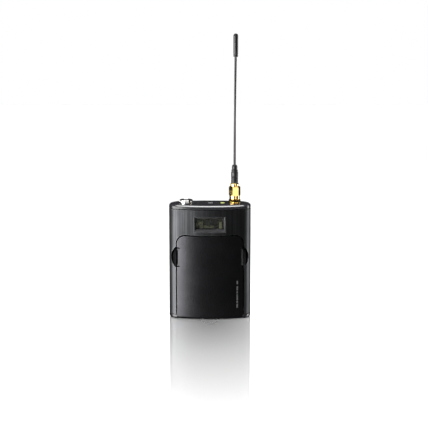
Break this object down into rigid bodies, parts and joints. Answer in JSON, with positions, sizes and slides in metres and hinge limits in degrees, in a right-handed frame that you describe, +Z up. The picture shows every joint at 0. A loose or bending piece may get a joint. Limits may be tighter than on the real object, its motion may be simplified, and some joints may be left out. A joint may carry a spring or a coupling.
{
  "type": "wireless bodypack transmitter",
  "caption": "Slim dark bodypack radio transmitter with a lens-shaped brushed sleeve, a display window, a swing-down battery cover, a screw-on whip antenna and a belt clip.",
  "frame": {"origin": "middle of the flat base on which the pack stands, under the middle of the body's section", "axes": "+Z up, along the antenna; the front with the display faces -Y; +X is the viewer's right"},
  "size_m": [0.064, 0.033, 0.2239],
  "materials": {
    "sleeve_metal": "dark anodised, brushed up and down",
    "cap_plastic": "black satin moulding",
    "seal_rubber": "matt black",
    "bezel_metal": "dark anodised with bright bevels",
    "window_glass": "clear, slightly grey",
    "readout": "dim olive readout",
    "cover_metal": "smooth dark satin",
    "foam": "grey-black foam",
    "latch_plastic": "black",
    "scoop_plastic": "black gloss",
    "tray_plastic": "black",
    "cell_wrap": "printed sleeve, plain copper and black bands",
    "spring_steel": "nickel plated",
    "board": "green solder mask",
    "shield_tin": "tin plated",
    "silver": "satin nickel",
    "black_insert": "black",
    "gold": "polished gold plate",
    "key_rubber": "dark grey",
    "switch_grey": "grey",
    "sync_smoke": "smoked window",
    "lamp": "pale yellow-green lens",
    "antenna_rubber": "black satin rubber",
    "clip_steel": "black coated spring steel",
    "screw_steel": "blackened steel"
  },
  "bodies": {
    "housing": {"housing_sleeve": "sleeve_metal", "top_cap": "cap_plastic", "bottom_cap": "cap_plastic", "top_gasket": "seal_rubber", "bottom_gasket": "seal_rubber", "display_bezel": "bezel_metal", "display_glass": "window_glass", "display_module": "readout", "cover_hinge_pin": "spring_steel", "scoop_left": "scoop_plastic", "scoop_right": "scoop_plastic", "battery_tray": "tray_plastic", "battery_1": "cell_wrap", "battery_2": "cell_wrap", "contact_bridge": "spring_steel", "contact_positive": "spring_steel", "contact_negative": "spring_steel", "contact_spring_bottom": "spring_steel", "contact_spring_top": "spring_steel", "menu_switch": "black_insert", "enter_switch": "black_insert", "main_board": "board", "rf_shield": "shield_tin", "connector_shell": "silver", "connector_insert": "black_insert", "connector_pin_1": "gold", "connector_pin_2": "gold", "connector_pin_3": "gold", "connector_pin_4": "gold", "connector_nut": "silver", "sync_window": "sync_smoke", "mute_switch": "switch_grey", "status_led": "lamp", "sma_jack": "gold", "sma_washer": "gold", "sma_nut": "gold", "clip_bracket": "clip_steel", "clip_pin": "spring_steel", "clip_spring": "spring_steel", "clip_screw_upper": "screw_steel", "clip_screw_lower": "screw_steel", "bottom_screw_left": "screw_steel", "bottom_screw_right": "screw_steel"},
    "cover": {"battery_cover": "cover_metal", "cover_pad": "foam", "latch_spring_left": "spring_steel", "latch_spring_right": "spring_steel"},
    "latch_left": {"latch_left": "latch_plastic"},
    "latch_right": {"latch_right": "latch_plastic"},
    "menu_button": {"menu_button": "key_rubber"},
    "enter_button": {"enter_button": "key_rubber"},
    "mute_slider": {"mute_slider": "switch_grey"},
    "antenna": {"antenna_ferrule": "gold", "antenna_pin": "gold", "antenna_boot": "antenna_rubber", "antenna_whip": "antenna_rubber", "antenna_tip": "antenna_rubber"},
    "coupling_nut": {"coupling_nut": "gold"},
    "clip_arm": {"clip_arm": "clip_steel"}
  },
  "joints": [
    {"name": "cover_hinge", "type": "hinge", "parent": "housing", "child": "cover", "pos_m": [0, -0.0092, 0.0038], "axis": [1, 0, 0], "range_deg": [0, 90]},
    {"name": "latch_left_press", "type": "slide", "parent": "cover", "child": "latch_left", "axis": [1, 0, 0], "range_m": [0, 0.0012], "stiffness_N_per_m": 300, "springref_m": -0.001, "deforming": ["latch_spring_left"]},
    {"name": "latch_right_press", "type": "slide", "parent": "cover", "child": "latch_right", "axis": [-1, 0, 0], "range_m": [0, 0.0012], "stiffness_N_per_m": 300, "springref_m": -0.001, "deforming": ["latch_spring_right"]},
    {"name": "menu_press", "type": "slide", "parent": "housing", "child": "menu_button", "axis": [0, 1, 0], "range_m": [0, 0.0005], "stiffness_N_per_m": 400, "springref_m": -0.0005},
    {"name": "enter_press", "type": "slide", "parent": "housing", "child": "enter_button", "axis": [0, 1, 0], "range_m": [0, 0.0005], "stiffness_N_per_m": 400, "springref_m": -0.0005},
    {"name": "mute_slide", "type": "slide", "parent": "housing", "child": "mute_slider", "axis": [1, 0, 0], "range_m": [-0.003, 0.003]},
    {"name": "antenna_lift", "type": "slide", "parent": "housing", "child": "antenna", "axis": [0, 0, 1], "range_m": [0, 0.00353]},
    {"name": "coupling_nut_turn", "type": "hinge", "parent": "antenna", "child": "coupling_nut", "pos_m": [0.01935, 0, 0.099], "axis": [0, 0, 1], "range_deg": [0, 1800]},
    {"name": "clip_hinge", "type": "hinge", "parent": "housing", "child": "clip_arm", "pos_m": [0, 0.0175, 0.0721], "axis": [1, 0, 0], "range_deg": [0, 18], "stiffness_Nm_per_rad": 0.3, "springref_deg": -20.05, "deforming": ["clip_spring"]}
  ],
  "couplings": [
    {"joint": "coupling_nut_turn", "follows": "antenna_lift", "rad_per_m": 8904.7}
  ]
}
